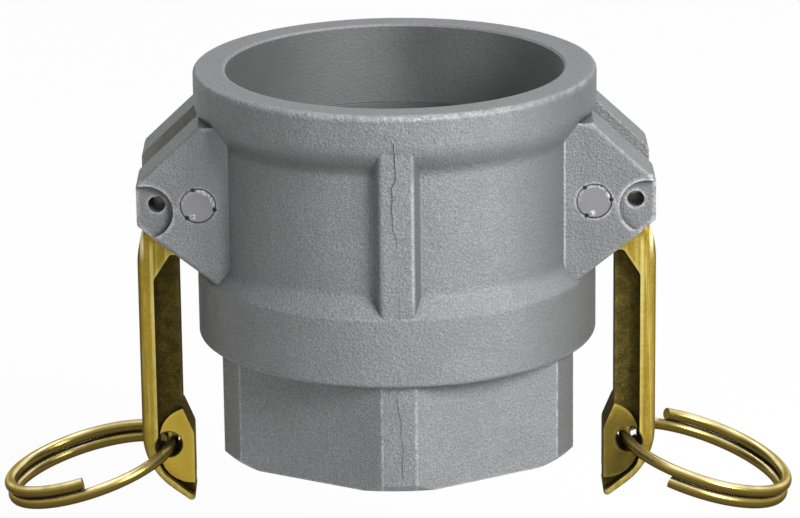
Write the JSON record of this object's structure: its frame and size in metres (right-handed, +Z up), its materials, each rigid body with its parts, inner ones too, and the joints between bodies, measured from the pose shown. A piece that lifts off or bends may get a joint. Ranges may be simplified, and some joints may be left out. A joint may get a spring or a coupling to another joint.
{
  "type": "cam and groove coupler",
  "caption": "Cast cam and groove coupler: a round socket with two hinged cam arms and pull rings, a gasket inside, and a female pipe thread in a hexagonal hub.",
  "frame": {"origin": "centre of the hub's threaded end face, where the pipe enters", "axes": "+Z up the coupler's axis to the socket's mouth; the cam arms stand at +X and -X"},
  "size_m": [0.1524, 0.076, 0.0866],
  "materials": {
    "cast_body": "shot-blasted casting, fine grain",
    "gasket_rubber": "matt black",
    "hinge_pin_steel": "cut ends, dull",
    "arm_brass": "forged, tumbled, brighter on the edges",
    "ring_brass": "drawn wire, bright"
  },
  "bodies": {
    "coupler": {"coupler_body": "cast_body", "gasket": "gasket_rubber", "left_hinge_pin": "hinge_pin_steel", "right_hinge_pin": "hinge_pin_steel"},
    "left_arm": {"left_cam_arm": "arm_brass"},
    "right_arm": {"right_cam_arm": "arm_brass"},
    "left_ring": {"left_pull_ring": "ring_brass"},
    "right_ring": {"right_pull_ring": "ring_brass"}
  },
  "joints": [
    {"name": "left_arm_hinge", "type": "hinge", "parent": "coupler", "child": "left_arm", "pos_m": [-0.03685, 0, 0.05023], "axis": [0, 1, 0], "range_deg": [0, 105]},
    {"name": "right_arm_hinge", "type": "hinge", "parent": "coupler", "child": "right_arm", "pos_m": [0.03685, 0, 0.05023], "axis": [0, -1, 0], "range_deg": [0, 105]},
    {"name": "left_ring_swing", "type": "hinge", "parent": "left_arm", "child": "left_ring", "pos_m": [-0.04365, 0, -0.00152], "axis": [0, 1, 0], "range_deg": [-134, 86]},
    {"name": "right_ring_swing", "type": "hinge", "parent": "right_arm", "child": "right_ring", "pos_m": [0.04365, 0, -0.00152], "axis": [0, -1, 0], "range_deg": [-132, 88]}
  ]
}
